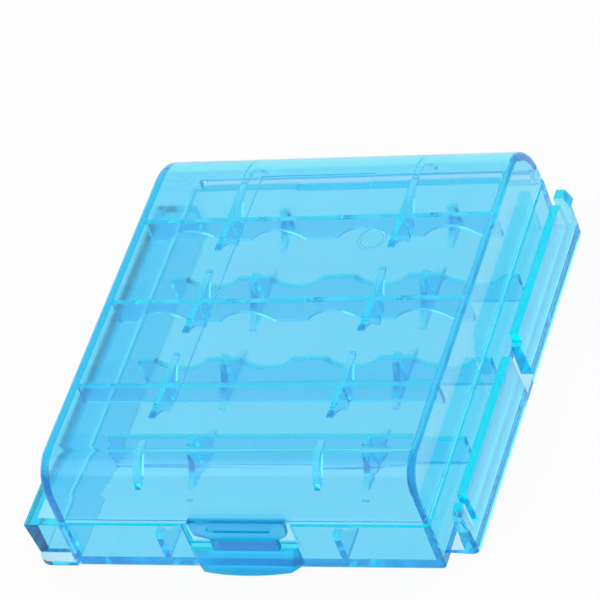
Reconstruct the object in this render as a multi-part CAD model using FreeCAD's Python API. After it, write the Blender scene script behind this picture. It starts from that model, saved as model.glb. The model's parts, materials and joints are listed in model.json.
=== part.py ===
import FreeCAD, Part
import os
from math import sqrt

# Snap-shut storage box for four AA cells lying across it, or four AAA cells
# lying front to back. Millimetres. +Z is up and the front latch faces -Y.
# The origin is on the table, under the middle of the tray.

Vector = FreeCAD.Vector
ALONG_X = Vector(1, 0, 0)
ALONG_Y = Vector(0, 1, 0)
UP = Vector(0, 0, 1)

# The cells that the box is made for
aa_diameter = 14.5
aa_length = 50.5
aaa_diameter = 10.5
aaa_length = 44.5
slot_count = 4
slot_clearance = 0.45
end_clearance = 1.1
aaa_end_clearance = 0.8
headroom = 1.6

# Mouldings
wall = 1.25
rib_thickness = 0.9
fin_thickness = 1.0
fin_least_height = 0.25
back_fin_height = 0.35
seam_gap = 0.35
lid_draft = 0.1
lid_front_radius = 5.0
lid_edge_radius = 1.0
tray_corner_radius = 0.5
foot_radius = 0.45

# Ribs and their round seats
seat_rise = 0.45
seat_clearance = 0.3
seat_half_opening = 3.8
seat_edge_radius = 0.7
lid_front_rib_depth = 3.1
ejector_boss_radius = 0.8
ejector_boss_height = 3.4

# Marks of the mould in the roof and in the back rim
panel_left = -10.0
panel_width = 17.0
panel_setback = 13.2
panel_depth = 0.15
gate_mark_x = 9.8
gate_mark_setback = 21.2
gate_mark_radius = 2.0
gate_mark_width = 0.3
rim_notch_depth = 0.4

# Living hinge
hinge_margin = 2.4
hinge_relief = 1.9
hinge_thickness = 0.35

# Latch window in the base, tab on the lid, and thumb lip
window_middle = -0.6
window_width = 15.6
window_depth = 4.1
tab_side_clearance = 0.8
tab_root_height = 1.1
tab_thickness = 0.8
tab_taper = 0.3
tab_shoulder = 3.05
tab_end_inset = 2.25
tab_end_middle = 0.4
tab_slope = 1.0
tab_ledge_drop = 0.6
tab_ledge = 0.5
tab_end_gap = 0.6
tab_running_gap = 0.4
groove_inset = 0.1
groove_height = 1.1
groove_depth = 0.4
groove_drop = 0.9
catch_inset = 0.6
catch_thickness = 0.7
catch_height = 1.5
catch_barb = 0.3
lip_ground_gap = 0.8
lip_side = 0.25
lip_corner_reach = 1.7
lip_reach = 2.3
lip_top_corner_reach = 0.7
lip_top_reach = 0.8

# Side rails
rail_floor = 0.8
right_channel = 2.0
right_rail_wall = 1.35
right_rail_draft = 0.5
right_rail_drop = 0.55
right_rail_front_setback = 2.75
right_rail_back_setback = 1.75
right_rail_radius = 0.9
right_rail_gap_middle = 0.3
right_rail_gap = 3.4
gap_ledge_length = 0.85
gap_ledge_drop = 1.6
slit_width = 1.25
slit_floor = 3.0
finger_length = 2.2
finger_nose_radius = 1.8
hook_length = 1.8
barb_reach = 0.75
barb_slope = 1.8
barb_underside = 2.5
left_channel = 4.5
left_rail_wall = 1.1
left_rail_flare = 0.6
left_rail_drop = 1.95
left_rail_setback = 1.65
left_rail_radius = 2.0
left_end_length = 1.4

# Overall sizes that follow from the cells
inner_length = aa_length + end_clearance
slot_width = aa_diameter + slot_clearance
inner_depth = slot_count * slot_width + (slot_count - 1) * rib_thickness
inner_height = aa_diameter + headroom
length = inner_length + 2 * wall
depth = inner_depth + 2 * wall
height = inner_height + 2 * wall
roof = height - wall
front = -depth / 2
back = depth / 2
inner_front = front + wall
inner_back = back - wall
side = length / 2
inner_side = inner_length / 2

# The hinge web's middle is at half the height, so that the open lid lies flat
base_height = height / 2 - hinge_relief / 2
lid_bottom = base_height + seam_gap
hinge_length = length - 2 * hinge_margin

# Places of the ribs, the round seats and the saddle fins
rib_pitch = slot_width + rib_thickness
rear_rib_y = rib_pitch
front_lid_rib_y = -rib_pitch
front_base_rib_y = inner_back - aaa_length - aaa_end_clearance - rib_thickness / 2
seat_axis_height = height / 2 + seat_rise
seat_radius = aaa_diameter / 2 + seat_clearance
crest = seat_axis_height - seat_half_opening
land = seat_axis_height + seat_half_opening
seat_pitch = inner_length / slot_count
seat_places = [seat_pitch * (i - (slot_count - 1) / 2) for i in range(slot_count)]
fin_places = {"left": -seat_pitch, "right": seat_pitch}
saddle_radius = slot_width / 2
lid_back_radius = saddle_radius + wall
fin_gap_half = sqrt(saddle_radius ** 2 - (saddle_radius - fin_least_height) ** 2)

# Places at the latch
sill_height = base_height - window_depth
tab_width = window_width - 2 * tab_side_clearance
tab_end_width = tab_width - 2 * tab_end_inset
tab_root_top = lid_bottom + tab_root_height
tab_shoulder_height = sill_height + tab_shoulder
tab_ledge_height = tab_shoulder_height - tab_ledge_drop

# Places on the side rails
right_wall_inner = side + right_channel
right_wall_top_outer = right_wall_inner + right_rail_wall
right_rail_outer = right_wall_top_outer + right_rail_draft
right_rail_front = front + right_rail_front_setback
right_rail_back = back - right_rail_back_setback
right_rail_height = base_height - right_rail_drop
finger_back = right_rail_front + finger_length
hook_front = right_rail_back - hook_length
gap_front = right_rail_gap_middle - right_rail_gap / 2
gap_back = right_rail_gap_middle + right_rail_gap / 2
left_wall_inner = -side - left_channel
left_rail_outer = left_wall_inner - left_rail_wall
left_rail_front = front + left_rail_setback
left_rail_height = base_height - left_rail_drop

OVERRUN = 1.0


def box(x_span, y_span, z_span):
    """A box from three (low, high) spans."""
    corner = Vector(x_span[0], y_span[0], z_span[0])
    return Part.makeBox(x_span[1] - x_span[0], y_span[1] - y_span[0], z_span[1] - z_span[0], corner)


def around(middle, width):
    """The (low, high) span of a width about its middle."""
    return (middle - width / 2, middle + width / 2)


def prism(points, sweep):
    """A closed outline of points swept along a vector."""
    return Part.Face(Part.makePolygon(points + points[:1])).extrude(sweep)


def edges_along(shape, direction, keep):
    """Straight edges that run along a direction and whose middle point passes keep."""
    chosen = []
    for edge in shape.Edges:
        run = edge.lastVertex().Point.sub(edge.firstVertex().Point)
        if run.Length > 0 and abs(run.normalize().dot(direction)) > 0.999 and keep(edge.CenterOfMass):
            chosen.append(edge)
    return chosen


# ---------------------------------------------------------------- base tray

def tray_form():
    """Outside of the base, with its bottom edges and upright corners rounded."""
    block = box((-side, side), (front, back), (0, base_height))
    block = block.makeFillet(tray_corner_radius, edges_along(block, UP, lambda p: True))
    return block.makeFillet(foot_radius, [e for e in block.Edges if abs(e.CenterOfMass.z) < 1e-6])


def base_tray():
    """Floor and four walls, with the latch window and the mould's notch in the back rim."""
    inside = box((-inner_side, inner_side), (inner_front, inner_back), (wall, base_height + OVERRUN))
    window = box(around(window_middle, window_width), (front - OVERRUN, inner_front),
                 (sill_height, base_height + OVERRUN))
    notch = box((panel_left, panel_left + panel_width), (inner_back, back + OVERRUN),
                (base_height - rim_notch_depth, base_height + OVERRUN))
    return tray_form().cut(Part.makeCompound([inside, window, notch]))


# --------------------------------------------------------------- lid cover

def lid_form(inset, bottom):
    """The lid's outer form drawn in by an inset, from a bottom height up."""
    top = height - inset
    y_front = front + inset
    y_back = back - inset
    r_front = lid_front_radius - inset
    r_back = lid_back_radius - inset
    reach = side + OVERRUN
    turn = 1 / sqrt(2)

    def at(y, z):
        return Vector(-reach, y, z)

    front_arc = Part.Arc(at(y_front, top - r_front),
                         at(y_front + r_front * (1 - turn), top - r_front * (1 - turn)),
                         at(y_front + r_front, top))
    back_arc = Part.Arc(at(y_back - r_back, top),
                        at(y_back - r_back * (1 - turn), top - r_back * (1 - turn)),
                        at(y_back, top - r_back))
    outline = [Part.makeLine(at(y_front, bottom), at(y_front, top - r_front)), front_arc.toShape(),
               Part.makeLine(at(y_front + r_front, top), at(y_back - r_back, top)), back_arc.toShape(),
               Part.makeLine(at(y_back, top - r_back), at(y_back, bottom)),
               Part.makeLine(at(y_back, bottom), at(y_front, bottom))]
    bar = Part.Face(Part.Wire(outline)).extrude(ALONG_X * 2 * reach)

    def half_width(z):
        return side - inset - lid_draft * (z - base_height) / (height - base_height)

    sides = prism([Vector(-half_width(bottom), y_front - OVERRUN, bottom),
                   Vector(half_width(bottom), y_front - OVERRUN, bottom),
                   Vector(half_width(top + OVERRUN), y_front - OVERRUN, top + OVERRUN),
                   Vector(-half_width(top + OVERRUN), y_front - OVERRUN, top + OVERRUN)],
                  ALONG_Y * (y_back - y_front + 2 * OVERRUN))
    return bar.common(sides)


def lid_cavity():
    """The room inside the lid, which its ribs and fins are trimmed to."""
    return lid_form(wall, lid_bottom)


def lid_cover():
    """Roof and four walls, relieved over the hinge, with the mould's marks in the roof."""
    shell = lid_form(0, lid_bottom)
    rims = [e for e in shell.Edges
            if abs(e.CenterOfMass.z - lid_bottom) > 1e-3
            and abs(e.CenterOfMass.x) > side - 2 * lid_draft]
    shell = shell.makeFillet(lid_edge_radius, rims)
    relief = box(around(0, hinge_length), (inner_back - OVERRUN, back + OVERRUN),
                 (lid_bottom - OVERRUN, base_height + hinge_relief))
    panel = box((panel_left, panel_left + panel_width), (front + panel_setback, back - lid_back_radius),
                (height - panel_depth, height + OVERRUN))
    mark = Vector(gate_mark_x, back - gate_mark_setback, roof)
    ring = Part.makeCylinder(gate_mark_radius, panel_depth, mark)
    ring = ring.cut(Part.makeCylinder(gate_mark_radius - gate_mark_width, panel_depth, mark))
    return shell.cut(Part.makeCompound([lid_form(wall, lid_bottom - OVERRUN), relief, panel, ring]))


# ---------------------------------------------------------------- cell ribs

def seat_cutters(y_span):
    """The round AAA seats through a rib, one for each cell."""
    return Part.makeCompound([
        Part.makeCylinder(seat_radius, y_span[1] - y_span[0] + 2 * OVERRUN,
                          Vector(x, y_span[0] - OVERRUN, seat_axis_height), ALONG_Y)
        for x in seat_places])


def scalloped(slab, y_span, edge_height):
    """A rib slab with its round seats cut and the seats' corners eased."""
    rib = slab.cut(seat_cutters(y_span))
    reach = seat_places[-1] + seat_radius
    corners = edges_along(rib, ALONG_Y, lambda p: abs(p.z - edge_height) < 1e-4 and abs(p.x) < reach)
    inner = [e for e in corners if abs(e.CenterOfMass.x) < inner_side - 2 * lid_draft]
    return rib.makeFillet(seat_edge_radius, inner)


def base_rib(y, seats):
    """A low wall across the tray. The front one is straight and stops the AAA cells."""
    y_span = around(y, rib_thickness)
    slab = box((-inner_side, inner_side), y_span, (wall, crest))
    return scalloped(slab, y_span, crest) if seats else slab


def lid_rib(y, seats):
    """A wall that hangs across the roof, trimmed to the lid's inside."""
    y_span = around(y, rib_thickness)
    bottom = land if seats else roof - lid_front_rib_depth
    slab = lid_cavity().common(box((-side, side), y_span, (bottom, height)))
    return scalloped(slab, y_span, land) if seats else slab


# ------------------------------------------------------------- saddle fins

def slots_between(rib_places):
    """The (low, high) Y spans of the slots that the ribs leave, front to back."""
    edges = [inner_front]
    for y in sorted(rib_places):
        edges += [y - rib_thickness / 2, y + rib_thickness / 2]
    edges.append(inner_back)
    return list(zip(edges[0::2], edges[1::2]))


def gussets(x, slots, z_span_at, axis_height):
    """Fin pieces at both ends of each slot, hollowed to the round of an AA cell."""
    x_span = around(x, fin_thickness)
    pieces = []
    for low, high in slots:
        middle = (low + high) / 2
        cell = Part.makeCylinder(saddle_radius, fin_thickness + 2 * OVERRUN,
                                 Vector(x_span[0] - OVERRUN, middle, axis_height), ALONG_X)
        pieces.append(box(x_span, (low, middle - fin_gap_half), z_span_at(low)).cut(cell))
        pieces.append(box(x_span, (middle + fin_gap_half, high), z_span_at(high)).cut(cell))
    return pieces


def base_saddles(x):
    """Eight gussets on the tray's floor and the round ejector boss at the back wall."""
    slots = slots_between([front_base_rib_y, 0, rear_rib_y])

    def z_span_at(y):
        return (wall, wall + ejector_boss_height if y == inner_back else crest)

    pieces = gussets(x, slots, z_span_at, wall + saddle_radius)
    boss = Part.makeCylinder(ejector_boss_radius, ejector_boss_height,
                             Vector(x, inner_back - ejector_boss_radius, wall))
    pieces[-1] = pieces[-1].fuse(boss).removeSplitter()
    return Part.makeCompound(pieces)


def lid_saddles(x):
    """The fins under the roof. The foremost follows the front curve, the rearmost the back curve."""
    slots = slots_between([front_lid_rib_y, 0, rear_rib_y])

    def z_span_at(y):
        beside_front_rib = y < front_lid_rib_y + rib_thickness
        return (roof - lid_front_rib_depth if beside_front_rib else land, height)

    rear_low, rear_high = slots.pop()
    slab = box(around(x, fin_thickness), (rear_low, rear_high), (land, height))
    rear_cell = Part.makeCylinder(saddle_radius - back_fin_height, fin_thickness + 2 * OVERRUN,
                                  Vector(x - fin_thickness / 2 - OVERRUN, (rear_low + rear_high) / 2,
                                         roof - saddle_radius), ALONG_X)
    pieces = slab.cut(rear_cell).common(lid_cavity()).Solids
    for piece in gussets(x, slots, z_span_at, roof - saddle_radius):
        pieces += [s for s in piece.common(lid_cavity()).Solids if s.Volume > fin_least_height]
    return Part.makeCompound(pieces)


# ----------------------------------------------------------- living hinge

def hinge_strip():
    """The thin web between the base's back rim and the lid, bowed out as it is when shut."""
    middle = base_height + hinge_relief / 2
    start = Vector(-hinge_length / 2, back, middle)
    outer = Part.makeCylinder(hinge_relief / 2 + hinge_thickness, hinge_length, start, ALONG_X)
    inner = Part.makeCylinder(hinge_relief / 2, hinge_length, start, ALONG_X)
    behind = box(around(0, hinge_length), (back, back + hinge_relief), around(middle, 2 * hinge_relief))
    return outer.cut(inner).common(behind)


# ------------------------------------------------------------ front latch

def latch_tab():
    """The springy tab that hangs from the lid's front edge into the window."""
    face = front - tab_thickness
    inner = front - tab_running_gap
    half = tab_width / 2
    left, right = around(tab_end_middle, tab_end_width)
    slope_height = tab_shoulder_height - tab_slope
    plate = prism([Vector(-half, front, tab_root_top), Vector(half, front, tab_root_top),
                   Vector(half - tab_taper, front, tab_shoulder_height),
                   Vector(right, front, slope_height), Vector(left, front, slope_height),
                   Vector(-half + tab_taper, front, tab_shoulder_height)], ALONG_Y * -tab_thickness)
    bottom = sill_height + tab_end_gap
    end = prism([Vector(left, inner, tab_shoulder_height), Vector(left, face, tab_shoulder_height),
                 Vector(left, face, tab_ledge_height), Vector(left, face - tab_ledge, tab_ledge_height),
                 Vector(left, face - tab_ledge, bottom), Vector(left, inner, bottom)],
                ALONG_X * tab_end_width)
    groove_middle = tab_root_top - groove_drop - groove_height / 2
    straight = tab_end_width - 2 * groove_inset - groove_height
    groove = box(around(0, straight), (face, face + groove_depth), around(groove_middle, groove_height))
    for x in (-straight / 2, straight / 2):
        groove = groove.fuse(Part.makeCylinder(groove_height / 2, groove_depth,
                                               Vector(x, face, groove_middle), ALONG_Y))
    return plate.fuse(end).removeSplitter().cut(groove)


def latch_catch():
    """The ridge that stands on the sill, with a barb that the tab snaps over."""
    left, right = around(tab_end_middle, tab_end_width - 2 * catch_inset)
    top = sill_height + catch_height
    profile = [Vector(left, front + catch_thickness, sill_height),
               Vector(left, front + catch_thickness, top),
               Vector(left, front, top),
               Vector(left, front - catch_barb, top - catch_barb),
               Vector(left, front - catch_barb, top - 2 * catch_barb),
               Vector(left, front, top - 3 * catch_barb),
               Vector(left, front, sill_height)]
    return prism(profile, ALONG_X * (right - left))


def lip_outline(z, corner_reach, reach):
    """The lip's outline at a height, with its outer corners cut and its front bowed."""
    left, right = around(window_middle, window_width)
    turn = corner_reach - lip_side

    def at(x, distance):
        return Vector(x, front - distance, z)

    bow = Part.Arc(at(left + turn, corner_reach), at(window_middle, reach), at(right - turn, corner_reach))
    return Part.Wire([Part.makeLine(at(right, 0), at(left, 0)),
                      Part.makeLine(at(left, 0), at(left, lip_side)),
                      Part.makeLine(at(left, lip_side), at(left + turn, corner_reach)),
                      bow.toShape(),
                      Part.makeLine(at(right - turn, corner_reach), at(right, lip_side)),
                      Part.makeLine(at(right, lip_side), at(right, 0))])


def thumb_lip():
    """The solid lip under the window, level with the sill and leaning out as it goes down."""
    foot = lip_outline(lip_ground_gap, lip_corner_reach, lip_reach)
    top = lip_outline(sill_height, lip_top_corner_reach, lip_top_reach)
    return Part.makeLoft([foot, top], True, True)


# -------------------------------------------------------------- side rails

def rounded_block(x_span, y_span, keep, radius):
    """A tall block on the table with chosen upright corners rounded."""
    block = box(x_span, y_span, (0, height))
    return block.makeFillet(radius, edges_along(block, UP, keep))


def right_rail_form():
    """The right rail's outline, from the tray's foot out."""
    return rounded_block((side - foot_radius, right_rail_outer), (right_rail_front, right_rail_back),
                         lambda p: p.x > side, right_rail_radius)


def left_rail_form():
    """The left rail's outline, from the tray's foot out."""
    return rounded_block((left_rail_outer, foot_radius - side), (front, back),
                         lambda p: p.x < -side, left_rail_radius)


def rail_plate(form):
    """The thin floor of a rail, up to the tray's rounded foot."""
    limits = box((left_rail_outer, right_rail_outer), (front, back), (0, rail_floor))
    return form.common(limits).cut(tray_form())


def right_rail_stretch(y_span, z_span):
    """A stretch of the right rail's upright wall, whose outer face leans in as it rises."""
    section = [Vector(right_wall_inner, right_rail_front, rail_floor),
               Vector(right_rail_outer, right_rail_front, rail_floor),
               Vector(right_wall_top_outer, right_rail_front, right_rail_height),
               Vector(right_wall_inner, right_rail_front, right_rail_height)]
    wall_bar = prism(section, ALONG_Y * (right_rail_back - right_rail_front)).common(right_rail_form())
    return wall_bar.common(box((side, right_rail_outer), y_span, z_span))


def rail_wall_front_right():
    """The front stretch of the right rail, cut low under the finger and its slit."""
    tall = right_rail_stretch((finger_back + slit_width, gap_front), (rail_floor, right_rail_height))
    low = right_rail_stretch((right_rail_front, finger_back + slit_width), (rail_floor, slit_floor))
    return tall.fuse(low).removeSplitter()


def rail_wall_rear_right():
    """The rear stretch of the right rail, stepped at the gap and cut low under the hook and its slit."""
    ledge_top = right_rail_height - gap_ledge_drop
    ledge = right_rail_stretch((gap_back, gap_back + gap_ledge_length), (rail_floor, ledge_top))
    tall = right_rail_stretch((gap_back + gap_ledge_length, hook_front - slit_width),
                              (rail_floor, right_rail_height))
    low = right_rail_stretch((hook_front - slit_width, right_rail_back), (rail_floor, slit_floor))
    return tall.fuse([ledge, low]).removeSplitter()


def rail_finger_right():
    """The springy finger at the rail's front end, with a rounded nose."""
    finger = right_rail_stretch((right_rail_front, finger_back), (slit_floor, right_rail_height))
    nose_y = right_rail_front + finger_nose_radius
    nose_z = right_rail_height - finger_nose_radius
    corner = box((side, right_rail_outer), (right_rail_front, nose_y), (nose_z, right_rail_height))
    nose = Part.makeCylinder(finger_nose_radius, right_rail_outer - side,
                             Vector(side, nose_y, nose_z), ALONG_X)
    return finger.cut(corner.cut(nose))


def rail_hook_right():
    """The springy hook at the rail's back end, with a barb on its outer side."""
    hook = right_rail_stretch((hook_front, right_rail_back), (slit_floor, right_rail_height))
    peak = right_wall_top_outer + barb_reach
    underside = right_rail_height - barb_underside
    barb = prism([Vector(right_wall_inner, hook_front, right_rail_height),
                  Vector(right_wall_top_outer, hook_front, right_rail_height),
                  Vector(peak, hook_front, right_rail_height - barb_slope),
                  Vector(right_wall_top_outer, hook_front, underside),
                  Vector(right_wall_inner, hook_front, underside)], ALONG_Y * hook_length)
    return hook.fuse(barb).removeSplitter()


def rail_wall_left():
    """The left rail's upright wall, whose outer face leans out as it rises."""
    section = [Vector(left_wall_inner, left_rail_front, rail_floor),
               Vector(left_rail_outer, left_rail_front, rail_floor),
               Vector(left_rail_outer - left_rail_flare, left_rail_front, left_rail_height),
               Vector(left_wall_inner, left_rail_front, left_rail_height)]
    return prism(section, ALONG_Y * (back - left_rail_radius - left_rail_front))


def rail_end_left(y_low):
    """A cross wall that closes the left rail's channel."""
    return box((left_wall_inner, -side), (y_low, y_low + left_end_length), (rail_floor, left_rail_height))


# --------------------------------------------------------------- all nodes

nodes = {
    "base_tray": base_tray(),
    "base_rib_rear": base_rib(rear_rib_y, True),
    "base_rib_middle": base_rib(0, True),
    "base_rib_front": base_rib(front_base_rib_y, False),
    "lid_cover": lid_cover(),
    "lid_rib_rear": lid_rib(rear_rib_y, True),
    "lid_rib_middle": lid_rib(0, True),
    "lid_rib_front": lid_rib(front_lid_rib_y, False),
    "hinge_strip": hinge_strip(),
    "latch_tab": latch_tab(),
    "latch_catch": latch_catch(),
    "thumb_lip": thumb_lip(),
    "rail_floor_right": rail_plate(right_rail_form()),
    "rail_wall_rear_right": rail_wall_rear_right(),
    "rail_wall_front_right": rail_wall_front_right(),
    "rail_finger_right": rail_finger_right(),
    "rail_hook_right": rail_hook_right(),
    "rail_floor_left": rail_plate(left_rail_form()),
    "rail_wall_left": rail_wall_left(),
    "rail_end_front_left": rail_end_left(left_rail_front),
    "rail_end_rear_left": rail_end_left(back - left_rail_radius - left_end_length),
}
for hand, fin_x in fin_places.items():
    nodes["base_saddles_" + hand] = base_saddles(fin_x)
    nodes["lid_saddles_" + hand] = lid_saddles(fin_x)

os.makedirs("parts", exist_ok=True)
for name, shape in nodes.items():
    shape.exportStep(f"parts/{name}.step")
    size = shape.BoundBox
    print(f"{name:24s} valid {shape.isValid()} solids {len(shape.Solids):2d} volume {shape.Volume:8.1f}"
          f"  x {size.XMin:6.1f} {size.XMax:6.1f}  y {size.YMin:6.1f} {size.YMax:6.1f}"
          f"  z {size.ZMin:5.1f} {size.ZMax:5.1f}")
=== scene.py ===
"""Dresses the frame of a snap-shut battery case in clear blue moulded plastic."""

import json
import math

import bmesh
import bpy
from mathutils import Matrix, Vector
from mathutils.bvhtree import BVHTree

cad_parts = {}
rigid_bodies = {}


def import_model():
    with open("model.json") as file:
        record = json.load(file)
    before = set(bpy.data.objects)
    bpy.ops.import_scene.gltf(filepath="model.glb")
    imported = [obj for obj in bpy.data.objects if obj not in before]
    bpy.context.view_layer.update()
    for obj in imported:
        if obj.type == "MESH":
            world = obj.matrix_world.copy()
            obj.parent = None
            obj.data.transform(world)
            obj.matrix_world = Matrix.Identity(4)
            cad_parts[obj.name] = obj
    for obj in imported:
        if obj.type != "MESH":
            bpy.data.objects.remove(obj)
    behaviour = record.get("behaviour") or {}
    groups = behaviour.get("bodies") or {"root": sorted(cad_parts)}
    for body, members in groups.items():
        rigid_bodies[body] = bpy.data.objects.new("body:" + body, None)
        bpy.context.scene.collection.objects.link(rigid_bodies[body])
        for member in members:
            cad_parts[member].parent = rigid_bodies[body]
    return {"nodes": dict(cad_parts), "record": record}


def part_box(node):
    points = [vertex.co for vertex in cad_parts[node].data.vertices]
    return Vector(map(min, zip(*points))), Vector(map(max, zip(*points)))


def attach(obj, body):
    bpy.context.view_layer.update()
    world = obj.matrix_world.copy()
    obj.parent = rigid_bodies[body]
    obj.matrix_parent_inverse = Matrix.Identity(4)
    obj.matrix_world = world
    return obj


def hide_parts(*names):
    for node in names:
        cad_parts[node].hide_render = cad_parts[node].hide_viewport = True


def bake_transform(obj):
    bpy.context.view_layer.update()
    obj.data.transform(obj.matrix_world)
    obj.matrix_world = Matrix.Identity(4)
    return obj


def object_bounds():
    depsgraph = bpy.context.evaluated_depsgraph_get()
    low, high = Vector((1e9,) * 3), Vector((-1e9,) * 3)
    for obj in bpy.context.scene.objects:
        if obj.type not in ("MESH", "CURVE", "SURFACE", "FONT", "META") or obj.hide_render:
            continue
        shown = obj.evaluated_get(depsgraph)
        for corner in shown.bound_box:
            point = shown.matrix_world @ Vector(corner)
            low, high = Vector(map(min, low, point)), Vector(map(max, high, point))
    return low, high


bl_info = {
    "name": "Clear Battery Case",
    "version": (1, 0, 0),
    "blender": (4, 5, 0),
    "location": "3D View > Sidebar > Battery Case",
    "description": "Finishes each moulded part of a clear blue battery case and sets its stage",
    "category": "Object",
}

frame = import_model()
cad_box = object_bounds()
BODIES = frame["record"]["behaviour"]["bodies"]

MM = 0.001

# Corners nearer than this are one, and sides that turn by less than this are flat.
MERGE_DISTANCE = 0.002 * MM
FLAT_ANGLE = math.radians(0.4)
# A face lies on a neighbour if it is this near, and the cosine of their normals below this.
TOUCH_DISTANCE = 0.02 * MM
TOUCH_FACING = -0.8
# A rooted feature's free sides draw in by this hair, once for all faces of one direction.
DRAW_IN = 0.03 * MM
SAME_DIRECTION = 0.7
# Edges that turn outwards by more than the first are rounded. What still turns by more than
# the second after that is shaded as a sharp edge.
ROUND_ANGLE = math.radians(24)
SHARP_ANGLE = math.radians(34)
# The power of a flat side's area in its pull on the normals of its corners.
AREA_POWER = 2

# Sockets of a Mix node, which has a set of them for each kind of data.
MIX_SHARE = 0
MIX_NUMBERS = (2, 3)
MIX_COLOURS = (6, 7)
MIXED_NUMBER = 0
MIXED_COLOUR = 2

WHITE = (1, 1, 1, 1)
SENSOR_WIDTH = 36.0
CLIP_START = 10 * MM
FLOOR_HALF_WIDTH = 3.0
# The floor as its reflected light sees it.
MATT_COLOUR = (0.8, 0.8, 0.8, 1)
MATT_ROUGHNESS = 0.9
# Light crosses many clear walls, and runs along inside them.
LIGHT_BOUNCES = 96


class MouldingSizes(bpy.types.PropertyGroup):
    """Edge and root sizes of the moulded parts."""

    edge_round: bpy.props.FloatProperty(
        name="Edge Round",
        description="Radius of the small rounding on free edges",
        default=0.14 * MM,
        min=0.0,
        unit="LENGTH",
    )
    rim_round: bpy.props.FloatProperty(
        name="Rim Round",
        description="Radius of the rounding on the rims of the tray and the lid",
        default=0.16 * MM,
        min=0.0,
        unit="LENGTH",
    )
    grip_round: bpy.props.FloatProperty(
        name="Grip Round",
        description="Radius of the rounding on the tab and the thumb lip",
        default=0.3 * MM,
        min=0.0,
        unit="LENGTH",
    )
    root_depth: bpy.props.FloatProperty(
        name="Root Depth",
        description="How far a rib or wall runs into the plastic it grows from",
        default=0.2 * MM,
        min=0.0,
        unit="LENGTH",
    )
    round_segments: bpy.props.IntProperty(
        name="Round Segments",
        description="Faces across each rounding",
        default=3,
        min=1,
        max=6,
    )


class PlasticFinish(bpy.types.PropertyGroup):
    """Colour and surface of the clear plastic."""

    tint: bpy.props.FloatVectorProperty(
        name="Tint",
        description="Colour that the plastic gives to light at each surface",
        subtype="COLOR",
        default=(0.84, 0.857, 0.987),
        min=0.0,
        max=1.0,
    )
    streak_tint: bpy.props.FloatVectorProperty(
        name="Streak Tint",
        description="Slightly deeper tint along the flow of the moulding",
        subtype="COLOR",
        default=(0.78, 0.84, 0.983),
        min=0.0,
        max=1.0,
    )
    streak_density: bpy.props.FloatProperty(
        name="Streak Density",
        description="Flow streaks per metre",
        default=60.0,
        min=0.0,
    )
    streak_stretch: bpy.props.FloatProperty(
        name="Streak Stretch",
        description="Share of the streak density that is left along the flow",
        default=0.35,
        min=0.0,
        max=1.0,
        subtype="FACTOR",
    )
    # Painted shade: a darker tint painted on the tab and the thumb lip, in place of the deep
    # colour that light takes on through thick plastic.
    grip_painted_shade: bpy.props.FloatVectorProperty(
        name="Grip Tint",
        description="Deeper tint of the tab and the thumb lip",
        subtype="COLOR",
        default=(0.05, 0.53, 0.91),
        min=0.0,
        max=1.0,
    )
    # Where the painted shade on the tab and the thumb lip begins, and their rougher wear too.
    grip_shade_and_wear_fade: bpy.props.FloatProperty(
        name="Grip Fade",
        description="How far in front of the front wall the deeper tint begins",
        default=0.1 * MM,
        min=0.0,
        unit="LENGTH",
    )
    depth_colour: bpy.props.FloatVectorProperty(
        name="Depth Colour",
        description="Colour that long paths through the plastic turn to",
        subtype="COLOR",
        default=(0.0, 0.973, 0.994),
        min=0.0,
        max=1.0,
    )
    depth_density: bpy.props.FloatProperty(
        name="Depth Density",
        description="How quickly the plastic colours light with depth, per metre",
        default=490,
        min=0.0,
    )
    refraction: bpy.props.FloatProperty(
        name="Refraction",
        description="Index of refraction of the plastic",
        default=1.45,
        min=1.0,
        max=2.0,
    )
    clearness: bpy.props.FloatProperty(
        name="Clearness",
        description="Share of light that passes through, and the rest scatters",
        default=1.0,
        min=0.0,
        max=1.0,
        subtype="FACTOR",
    )
    patch_density: bpy.props.FloatProperty(
        name="Patch Density",
        description="Patches of smoother and duller polish per metre",
        default=220.0,
        min=0.0,
    )
    polish_low: bpy.props.FloatProperty(
        name="Lowest Roughness",
        description="Roughness of the smoothest patches",
        default=0.02,
        min=0.0,
        max=1.0,
        subtype="FACTOR",
    )
    polish_high: bpy.props.FloatProperty(
        name="Highest Roughness",
        description="Roughness of the dullest patches",
        default=0.12,
        min=0.0,
        max=1.0,
        subtype="FACTOR",
    )
    grip_roughness: bpy.props.FloatProperty(
        name="Grip Roughness",
        description="Roughness of the tab and the thumb lip, which fingers wear",
        default=0.3,
        min=0.0,
        max=1.0,
        subtype="FACTOR",
    )
    ripple_size: bpy.props.FloatProperty(
        name="Ripple Size",
        description="Width of the faint ripples left by the mould",
        default=6.0 * MM,
        min=0.1 * MM,
        unit="LENGTH",
    )
    ripple_depth: bpy.props.FloatProperty(
        name="Ripple Depth",
        description="Depth of the faint ripples left by the mould",
        default=0.001 * MM,
        min=0.0,
        unit="LENGTH",
    )


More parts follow.
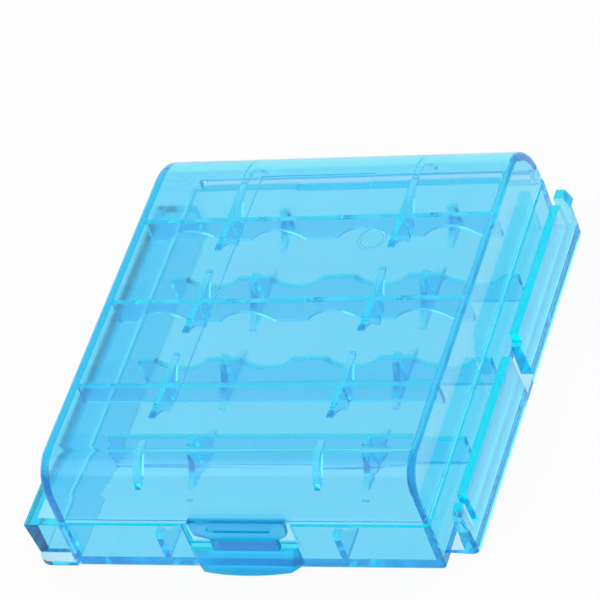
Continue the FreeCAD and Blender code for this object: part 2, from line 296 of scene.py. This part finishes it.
class StageSettings(bpy.types.PropertyGroup):
    """Camera, lamps and floor."""

    camera_place: bpy.props.FloatVectorProperty(
        name="Camera Place",
        description="Where the camera stands",
        subtype="XYZ",
        default=(0.2282, -0.37047, 0.39149),
    )
    camera_turn: bpy.props.FloatVectorProperty(
        name="Camera Turn",
        description="How the camera is turned about X, Y and Z",
        subtype="EULER",
        default=(math.radians(46.991), math.radians(16.924), math.radians(16.175)),
    )
    camera_lens: bpy.props.FloatProperty(
        name="Lens",
        description="Focal length on a 36 mm wide sensor, in millimetres",
        default=253.6,
        min=1.0,
    )
    floor_white: bpy.props.FloatProperty(
        name="Floor White",
        description="Brightness that the pale floor keeps in full shadow",
        default=0.92,
        min=0.0,
        max=1.0,
        subtype="FACTOR",
    )
    floor_shadow: bpy.props.FloatProperty(
        name="Floor Shadow",
        description="Paint of the floor that takes the lamps and so the shadow",
        default=0.08,
        min=0.0,
        max=1.0,
        subtype="FACTOR",
    )
    floor_gap: bpy.props.FloatProperty(
        name="Floor Gap",
        description="Film of air between the floor and the clear tray that stands on it",
        default=0.05 * MM,
        min=0.0,
        unit="LENGTH",
    )
    room_light: bpy.props.FloatProperty(
        name="Room Light",
        description="Strength of the even light from all round",
        default=0.7,
        min=0.0,
    )


def sizes():
    """The case's moulding sizes on this scene."""
    return bpy.context.scene.case_sizes


def finish_settings():
    """The case's plastic settings on this scene."""
    return bpy.context.scene.case_plastic


def stage_settings():
    """The case's stage settings on this scene."""
    return bpy.context.scene.case_stage


# ---------------------------------------------------------------- meshes


def node_mesh(node):
    """A merged copy of a node's mesh, with its flat sides made whole."""
    bm = bmesh.new()
    bm.from_mesh(frame["nodes"][node].data)
    bmesh.ops.remove_doubles(bm, verts=bm.verts, dist=MERGE_DISTANCE)
    bmesh.ops.dissolve_limit(
        bm,
        angle_limit=FLAT_ANGLE,
        use_dissolve_boundaries=False,
        verts=bm.verts,
        edges=bm.edges,
        delimit={"NORMAL"},
    )
    return bm


def surfaces_of(nodes):
    """A search tree over each of the named nodes' surfaces."""
    trees = []
    for node in nodes:
        bm = bmesh.new()
        bm.from_mesh(frame["nodes"][node].data)
        trees.append(BVHTree.FromBMesh(bm))
        bm.free()
    return trees


def touches(face, tree):
    """True if the whole face lies on the tree's surface, and faces into it."""
    points = [v.co for v in face.verts] + [face.calc_center_median_weighted()]
    for point in points:
        place, normal, _, distance = tree.find_nearest(point)
        if place is None or distance > TOUCH_DISTANCE:
            return False
    return normal.dot(face.normal) < TOUCH_FACING


def root_into(bm, trees, depth):
    """Runs the faces that lie on a neighbour into its plastic, and returns their edges.

    Their free sides draw in by a hair on the way, so that no two faces share a plane.
    """
    rooted = [f for f in bm.faces if any(touches(f, tree) for tree in trees)]
    inside = set(rooted)
    moves = {}
    for vert in {v for f in rooted for v in f.verts}:
        ways = []
        for face in sorted(vert.link_faces, key=lambda f: f not in inside):
            if all(face.normal.dot(way) < SAME_DIRECTION for way, _ in ways):
                ways.append((face.normal.copy(), depth if face in inside else -DRAW_IN))
        moves[vert] = sum((way * step for way, step in ways), Vector())
    for vert, move in moves.items():
        vert.co += move
    return {e for f in rooted for e in f.edges}


def round_free_edges(bm, width, segments, kept_sharp):
    """Rounds the edges that turn outwards enough, but for those kept sharp."""
    edges = [
        e
        for e in bm.edges
        if e not in kept_sharp
        and len(e.link_faces) == 2
        and e.calc_face_angle_signed() > ROUND_ANGLE
    ]
    bmesh.ops.bevel(
        bm,
        geom=edges,
        offset=width,
        offset_type="OFFSET",
        affect="EDGES",
        segments=segments,
        profile=0.5,
        material=-1,
        clamp_overlap=True,
        loop_slide=True,
    )


def flat_areas(bm):
    """For each face, the area of the whole flat side it is in, in square millimetres."""
    areas = {}
    for first in bm.faces:
        if first in areas:
            continue
        side = [first]
        known = {first}
        for face in side:
            for other in (f for edge in face.edges for f in edge.link_faces):
                if other not in known and other.normal.angle(first.normal, 1) < FLAT_ANGLE:
                    side.append(other)
                    known.add(other)
        total = sum(face.calc_area() for face in side) / MM**2
        areas.update(dict.fromkeys(side, total))
    return areas


def smooth_fan(loop):
    """The corners that share a corner's vertex with no sharp edge between them."""
    fan = [loop]
    for corner in fan:
        for edge in (corner.edge, corner.link_loop_prev.edge):
            if not edge.smooth:
                continue
            for other in corner.vert.link_loops:
                if other not in fan and edge in other.face.edges:
                    fan.append(other)
    return fan


def even_normals(bm):
    """A normal for each corner, which the largest flat side there sets almost alone."""
    for edge in bm.edges:
        edge.smooth = edge.calc_face_angle(math.pi) < SHARP_ANGLE
    areas = flat_areas(bm)
    normals = {}
    for vert in bm.verts:
        for loop in vert.link_loops:
            if loop in normals:
                continue
            fan = smooth_fan(loop)
            total = Vector()
            for corner in fan:
                pull = areas[corner.face] ** AREA_POWER * corner.calc_angle()
                total += corner.face.normal * pull
            normals.update(dict.fromkeys(fan, total.normalized()))
    return [normals[loop] for face in bm.faces for loop in face.loops]


def trim_slivers(bm):
    """Takes away faces that hang on a closed skin by one edge, which a union can leave."""
    hanging = {face for edge in bm.edges if edge.is_boundary for face in edge.link_faces}
    bmesh.ops.delete(bm, geom=list(hanging), context="FACES")


def placed(name, bm, slot, body, *nodes):
    """Turns a mesh into a finished piece that rides on a body and stands for its nodes."""
    bmesh.ops.remove_doubles(bm, verts=bm.verts, dist=MERGE_DISTANCE)
    trim_slivers(bm)
    bmesh.ops.recalc_face_normals(bm, faces=bm.faces)
    bm.normal_update()
    normals = even_normals(bm)
    for face in bm.faces:
        face.smooth = True
    mesh = bpy.data.meshes.new(name)
    bm.to_mesh(mesh)
    bm.free()
    mesh.materials.append(clear_plastic())
    mesh.normals_split_custom_set(normals)
    piece = bpy.data.objects.new(name, mesh)
    bpy.context.scene.collection.objects.link(piece)
    if body is not None:
        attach(piece, body)
    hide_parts(*nodes)
    return piece


def cut_level(bm, height):
    """Divides the faces that cross a height."""
    bmesh.ops.bisect_plane(
        bm,
        geom=bm.verts[:] + bm.edges[:] + bm.faces[:],
        plane_co=(0, 0, height),
        plane_no=(0, 0, 1),
        dist=MERGE_DISTANCE,
    )


def rooted_form(node, body, width, levels=()):
    """One node's mesh with its free edges rounded, and rooted in the body's other nodes."""
    bm = node_mesh(node)
    for height in levels:
        cut_level(bm, height)
    others = [n for n in BODIES[body] if n != node]
    roots = root_into(bm, surfaces_of(others), sizes().root_depth)
    round_free_edges(bm, width, sizes().round_segments, roots)
    return bm


def shell_form(node, width):
    """A shell's mesh with its free edges rounded."""
    bm = node_mesh(node)
    round_free_edges(bm, width, sizes().round_segments, set())
    return bm


def solid_object(name, bm, collection):
    """A plain object that holds a mesh for a while."""
    mesh = bpy.data.meshes.new(name)
    bm.to_mesh(mesh)
    bm.free()
    thing = bpy.data.objects.new(name, mesh)
    collection.objects.link(thing)
    return thing


def grown_together(shell, features):
    """One closed skin around a shell's mesh and the features that grow from it."""
    scene = bpy.context.scene
    growing = bpy.data.collections.new("growing")
    scene.collection.children.link(growing)
    for node, bm in features.items():
        solid_object(node + "_form", bm, growing)
    core = solid_object("core_form", shell, scene.collection)
    union = core.modifiers.new("Grow", "BOOLEAN")
    union.operation = "UNION"
    union.solver = "EXACT"
    union.operand_type = "COLLECTION"
    union.collection = growing
    bm = bmesh.new()
    bm.from_object(core, bpy.context.evaluated_depsgraph_get())
    for thing in [core, *growing.objects]:
        bpy.data.meshes.remove(thing.data)
    bpy.data.collections.remove(growing)
    return bm


# ------------------------------------------------------------- materials


def noise(tree, coordinates, scale, detail, stretch=(1, 1, 1)):
    """A noise pattern on object coordinates."""
    place = tree.nodes.new("ShaderNodeMapping")
    place.inputs["Scale"].default_value = stretch
    tree.links.new(coordinates, place.inputs["Vector"])
    pattern = tree.nodes.new("ShaderNodeTexNoise")
    pattern.inputs["Scale"].default_value = scale
    pattern.inputs["Detail"].default_value = detail
    tree.links.new(place.outputs[0], pattern.inputs["Vector"])
    return pattern.outputs["Fac"]


def clear_plastic():
    """Clear blue plastic, deeper in colour where thick, and with painted shade, a darker tint,
    in front of the front wall.
    """
    name = "clear_blue_plastic"
    known = bpy.data.materials.get(name)
    if known:
        return known
    look = finish_settings()
    material = bpy.data.materials.new(name)
    material.use_nodes = True
    tree = material.node_tree
    plastic = tree.nodes["Principled BSDF"]
    output = tree.nodes["Material Output"]
    coordinates = tree.nodes.new("ShaderNodeTexCoord").outputs["Object"]

    along = (1, look.streak_stretch, 1)
    flow = noise(tree, coordinates, look.streak_density, detail=3.0, stretch=along)
    colours = tree.nodes.new("ShaderNodeMix")
    colours.data_type = "RGBA"
    for socket, tint in zip(MIX_COLOURS, (look.tint, look.streak_tint)):
        colours.inputs[socket].default_value = (*tint, 1)
    tree.links.new(flow, colours.inputs[MIX_SHARE])

    apart = tree.nodes.new("ShaderNodeSeparateXYZ")
    tree.links.new(coordinates, apart.inputs[0])
    # Painted shade: the tab and the thumb lip, in front of the front wall, get a darker tint
    # painted on. The same mask makes them rougher, as fingers wear them.
    shade_and_wear_mask = tree.nodes.new("ShaderNodeMapRange")
    front_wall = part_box("base_tray")[0].y
    shade_and_wear_mask.inputs["From Min"].default_value = front_wall - look.grip_shade_and_wear_fade
    shade_and_wear_mask.inputs["From Max"].default_value = front_wall - 2 * look.grip_shade_and_wear_fade
    grip = tree.nodes.new("ShaderNodeMix")
    grip.data_type = "RGBA"
    grip.inputs[MIX_COLOURS[1]].default_value = (*look.grip_painted_shade, 1)
    tree.links.new(apart.outputs["Y"], shade_and_wear_mask.inputs["Value"])
    tree.links.new(shade_and_wear_mask.outputs[0], grip.inputs[MIX_SHARE])
    tree.links.new(colours.outputs[MIXED_COLOUR], grip.inputs[MIX_COLOURS[0]])
    tree.links.new(grip.outputs[MIXED_COLOUR], plastic.inputs["Base Color"])

    patches = noise(tree, coordinates, look.patch_density, detail=4.0)
    polish = tree.nodes.new("ShaderNodeMapRange")
    polish.inputs["To Min"].default_value = look.polish_low
    polish.inputs["To Max"].default_value = look.polish_high
    tree.links.new(patches, polish.inputs["Value"])
    wear = tree.nodes.new("ShaderNodeMix")
    wear.inputs[MIX_NUMBERS[1]].default_value = look.grip_roughness
    tree.links.new(shade_and_wear_mask.outputs[0], wear.inputs[MIX_SHARE])
    tree.links.new(polish.outputs[0], wear.inputs[MIX_NUMBERS[0]])
    tree.links.new(wear.outputs[MIXED_NUMBER], plastic.inputs["Roughness"])

    ripples = noise(tree, coordinates, 1 / look.ripple_size, detail=1.0)
    bump = tree.nodes.new("ShaderNodeBump")
    bump.inputs["Strength"].default_value = 1.0
    bump.inputs["Distance"].default_value = look.ripple_depth
    tree.links.new(ripples, bump.inputs["Height"])
    tree.links.new(bump.outputs[0], plastic.inputs["Normal"])

    plastic.inputs["Transmission Weight"].default_value = look.clearness
    plastic.inputs["IOR"].default_value = look.refraction
    depth = tree.nodes.new("ShaderNodeVolumeAbsorption")
    depth.inputs["Color"].default_value = (*look.depth_colour, 1)
    depth.inputs["Density"].default_value = look.depth_density
    tree.links.new(depth.outputs[0], output.inputs["Volume"])
    return material


# ---------------------------------------------------------------- pieces


class CASE_OT_tray(bpy.types.Operator):
    """Finish the tray with its ribs, saddles, catch, lip and side rails, as one moulding"""

    bl_idname = "case.tray"
    bl_label = "Tray"

    def execute(self, context):
        nodes = [n for n in BODIES["base"] if n != "hinge_strip"]
        widths = dict.fromkeys(nodes, sizes().edge_round)
        widths["thumb_lip"] = sizes().grip_round
        features = {n: rooted_form(n, "base", widths[n]) for n in nodes if n != "base_tray"}
        bm = grown_together(shell_form("base_tray", sizes().rim_round), features)
        placed("tray_moulding", bm, "clear_blue", "base", *nodes)
        return {"FINISHED"}


class CASE_OT_lid(bpy.types.Operator):
    """Finish the deep lid with its rounded edges and the ribs inside, as one moulding"""

    bl_idname = "case.lid"
    bl_label = "Lid"

    def execute(self, context):
        nodes = BODIES["lid"]
        width = sizes().edge_round
        features = {n: rooted_form(n, "lid", width) for n in nodes if n != "lid_cover"}
        bm = grown_together(shell_form("lid_cover", sizes().rim_round), features)
        placed("lid_moulding", bm, "clear_blue", "lid", *nodes)
        return {"FINISHED"}


class CASE_OT_tab(bpy.types.Operator):
    """Finish the springy tab that snaps over the catch"""

    bl_idname = "case.tab"
    bl_label = "Latch Tab"

    def execute(self, context):
        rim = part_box("lid_cover")[0].z
        bm = rooted_form("latch_tab", "lid", sizes().grip_round, levels=(rim,))
        placed("tab_moulding", bm, "clear_blue", "latch", "latch_tab")
        return {"FINISHED"}


class CASE_OT_hinge(bpy.types.Operator):
    """Finish the thin living hinge that bends between tray and lid"""

    bl_idname = "case.hinge"
    bl_label = "Living Hinge"

    def execute(self, context):
        low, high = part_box("hinge_strip")
        middle = (low + high) / 2
        bm = node_mesh("hinge_strip")
        for vert in bm.verts:
            if vert.co.y < low.y + MERGE_DISTANCE:
                vert.co.y -= sizes().root_depth
                vert.co.z += math.copysign(DRAW_IN, vert.co.z - middle.z)
        web = placed("hinge_web", bm, "hinge_web", None, "hinge_strip")
        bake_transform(web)
        return {"FINISHED"}


# ----------------------------------------------------------------- stage


def background_share(tree):
    """1 for what the camera sees, directly, mirrored or through plastic, and 0 for light."""
    path = tree.nodes.new("ShaderNodeLightPath")
    share = path.outputs["Is Camera Ray"]
    for kind in ("Is Glossy Ray", "Is Transmission Ray"):
        either = tree.nodes.new("ShaderNodeMath")
        either.operation = "MAXIMUM"
        tree.links.new(share, either.inputs[0])
        tree.links.new(path.outputs[kind], either.inputs[1])
        share = either.outputs[0]
    return share


def softbox(name, size, power, place):
    """Adds a large soft lamp that faces the origin."""
    lamp = bpy.data.lights.new(name, "AREA")
    lamp.shape = "RECTANGLE"
    lamp.size, lamp.size_y = size
    lamp.energy = power
    thing = bpy.data.objects.new(name, lamp)
    thing.location = place
    thing.rotation_euler = (-Vector(place)).to_track_quat("-Z", "Y").to_euler()
    bpy.context.scene.collection.objects.link(thing)


class CASE_OT_stage(bpy.types.Operator):
    """Set the camera, the lamps and the pale floor"""

    bl_idname = "case.stage"
    bl_label = "Stage"

    def execute(self, context):
        look = stage_settings()
        scene = context.scene
        camera = bpy.data.cameras.new("camera")
        camera.sensor_width = SENSOR_WIDTH
        camera.lens = look.camera_lens
        camera.clip_start = CLIP_START
        viewer = bpy.data.objects.new("camera", camera)
        viewer.location = look.camera_place
        viewer.rotation_euler = look.camera_turn
        scene.collection.objects.link(viewer)
        scene.camera = viewer

        world = bpy.data.worlds.new("room")
        scene.world = world
        world.use_nodes = True
        tree = world.node_tree
        light = tree.nodes["Background"]
        light.inputs["Strength"].default_value = look.room_light
        light.inputs["Color"].default_value = WHITE
        backdrop = tree.nodes.new("ShaderNodeBackground")
        backdrop.inputs["Strength"].default_value = 1.0
        backdrop.inputs["Color"].default_value = WHITE
        choice = tree.nodes.new("ShaderNodeMixShader")
        tree.links.new(background_share(tree), choice.inputs[0])
        tree.links.new(light.outputs[0], choice.inputs[1])
        tree.links.new(backdrop.outputs[0], choice.inputs[2])
        tree.links.new(choice.outputs[0], tree.nodes["World Output"].inputs["Surface"])

        bm = bmesh.new()
        bmesh.ops.create_grid(bm, x_segments=1, y_segments=1, size=FLOOR_HALF_WIDTH)
        mesh = bpy.data.meshes.new("pale_floor")
        bm.to_mesh(mesh)
        bm.free()
        floor = bpy.data.objects.new("pale_floor", mesh)
        floor.location.z = cad_box[0].z - look.floor_gap
        scene.collection.objects.link(floor)
        mesh.materials.append(self.floor_paint(look))

        softbox("softbox_front", size=(0.8, 0.8), power=2.0, place=(-0.5, -0.6, 0.9))
        softbox("softbox_back", size=(0.8, 0.6), power=1.5, place=(0.4, 0.8, 0.7))
        scene.view_settings.view_transform = "Standard"
        scene.cycles.max_bounces = LIGHT_BOUNCES
        scene.cycles.transmission_bounces = LIGHT_BOUNCES
        scene.cycles.glossy_bounces = LIGHT_BOUNCES
        return {"FINISHED"}

    def floor_paint(self, look):
        """A pale floor that stays white and still takes a soft shadow."""
        material = bpy.data.materials.new("pale_floor")
        material.use_nodes = True
        tree = material.node_tree
        matt = tree.nodes["Principled BSDF"]
        matt.inputs["Base Color"].default_value = MATT_COLOUR
        matt.inputs["Roughness"].default_value = MATT_ROUGHNESS
        shaded = tree.nodes.new("ShaderNodeBsdfDiffuse")
        shaded.inputs["Color"].default_value = (*[look.floor_shadow] * 3, 1)
        glow = tree.nodes.new("ShaderNodeEmission")
        glow.inputs["Strength"].default_value = look.floor_white
        seen = tree.nodes.new("ShaderNodeAddShader")
        tree.links.new(shaded.outputs[0], seen.inputs[0])
        tree.links.new(glow.outputs[0], seen.inputs[1])
        choice = tree.nodes.new("ShaderNodeMixShader")
        tree.links.new(background_share(tree), choice.inputs[0])
        tree.links.new(matt.outputs[0], choice.inputs[1])
        tree.links.new(seen.outputs[0], choice.inputs[2])
        tree.links.new(choice.outputs[0], tree.nodes["Material Output"].inputs["Surface"])
        return material


class CASE_PT_panel(bpy.types.Panel):
    """Lists the case's sizes, finish and operators"""

    bl_idname = "CASE_PT_panel"
    bl_label = "Battery Case"
    bl_space_type = "VIEW_3D"
    bl_region_type = "UI"
    bl_category = "Battery Case"

    def draw(self, context):
        layout = self.layout
        for title, group in (
            ("Moulding", context.scene.case_sizes),
            ("Plastic", context.scene.case_plastic),
            ("Stage", context.scene.case_stage),
        ):
            box = layout.box()
            box.label(text=title)
            for name in group.__annotations__:
                box.prop(group, name)
        for operator in OPERATORS:
            layout.operator(operator.bl_idname)


OPERATORS = (
    CASE_OT_stage,
    CASE_OT_tray,
    CASE_OT_lid,
    CASE_OT_tab,
    CASE_OT_hinge,
)
CLASSES = (MouldingSizes, PlasticFinish, StageSettings, *OPERATORS, CASE_PT_panel)


def register():
    for cls in CLASSES:
        bpy.utils.register_class(cls)
    bpy.types.Scene.case_sizes = bpy.props.PointerProperty(type=MouldingSizes)
    bpy.types.Scene.case_plastic = bpy.props.PointerProperty(type=PlasticFinish)
    bpy.types.Scene.case_stage = bpy.props.PointerProperty(type=StageSettings)


def unregister():
    del bpy.types.Scene.case_stage
    del bpy.types.Scene.case_plastic
    del bpy.types.Scene.case_sizes
    for cls in reversed(CLASSES):
        bpy.utils.unregister_class(cls)


def main():
    register()
    for operator in OPERATORS:
        group, name = operator.bl_idname.split(".")
        getattr(getattr(bpy.ops, group), name)()


if __name__ == "__main__":
    main()
